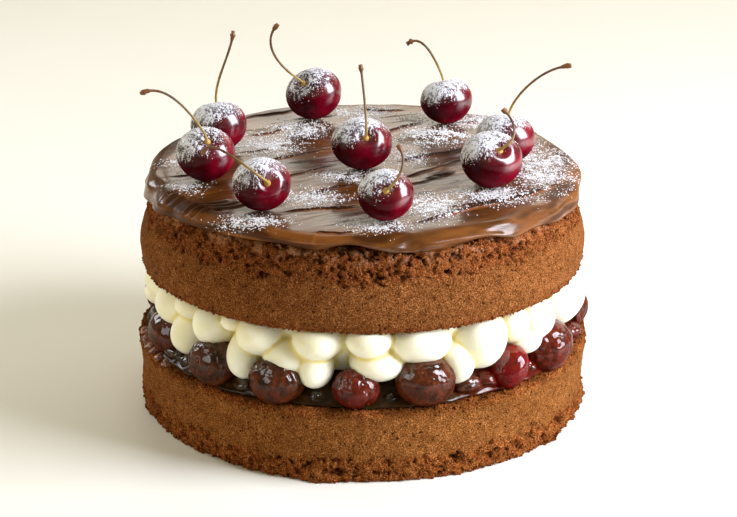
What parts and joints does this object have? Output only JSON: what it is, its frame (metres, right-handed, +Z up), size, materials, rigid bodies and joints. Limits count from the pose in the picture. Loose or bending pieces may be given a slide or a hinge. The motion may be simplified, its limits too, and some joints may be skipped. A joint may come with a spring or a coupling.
{
  "type": "black forest cake",
  "caption": "Round two-layer chocolate sponge cake filled with cherries and piped whipped cream, spread with chocolate icing and topped with whole stemmed cherries.",
  "frame": {"origin": "middle of the flat underside of the lower sponge, on the plate", "axes": "+Z up through the layers; -Y is the front, the side with the widest show of cream and cherries; +X to the right seen from the front"},
  "size_m": [0.2062, 0.2067, 0.1663],
  "materials": {
    "chocolate_sponge": "dry open-crumbed chocolate sponge",
    "cherry_jam": "wet dark cherry jam",
    "cooked_cherry": "wet cooked cherry skin",
    "whipped_cream": "soft satin cream",
    "chocolate_icing": "glossy spread chocolate with a dusting of icing sugar",
    "fresh_cherry": "polished dark red cherry skin dusted with icing sugar",
    "icing_sugar": "fine icing sugar sifted over the icing and cherries",
    "cherry_stem": "dry green-brown stem"
  },
  "bodies": {
    "root": {"lower_sponge": "chocolate_sponge", "cherry_jam": "cherry_jam", "filling_cherry_01": "cooked_cherry", "filling_cherry_02": "cooked_cherry", "filling_cherry_03": "cooked_cherry", "filling_cherry_04": "cooked_cherry", "filling_cherry_05": "cooked_cherry", "filling_cherry_06": "cooked_cherry", "filling_cherry_07": "cooked_cherry", "filling_cherry_08": "cooked_cherry", "filling_cherry_09": "cooked_cherry", "filling_cherry_10": "cooked_cherry", "filling_cherry_11": "cooked_cherry", "filling_cherry_12": "cooked_cherry", "filling_cherry_13": "cooked_cherry", "filling_cherry_14": "cooked_cherry", "filling_cherry_15": "cooked_cherry", "whipped_cream": "whipped_cream", "upper_sponge": "chocolate_sponge", "chocolate_icing": "chocolate_icing", "cherry_01": "fresh_cherry", "cherry_02": "fresh_cherry", "cherry_03": "fresh_cherry", "cherry_04": "fresh_cherry", "cherry_05": "fresh_cherry", "cherry_06": "fresh_cherry", "cherry_07": "fresh_cherry", "cherry_08": "fresh_cherry", "cherry_09": "fresh_cherry", "cherry_stem_01": "cherry_stem", "cherry_stem_02": "cherry_stem", "cherry_stem_03": "cherry_stem", "cherry_stem_04": "cherry_stem", "cherry_stem_05": "cherry_stem", "cherry_stem_06": "cherry_stem", "cherry_stem_07": "cherry_stem", "cherry_stem_08": "cherry_stem", "cherry_stem_09": "cherry_stem"}
  },
  "joints": []
}
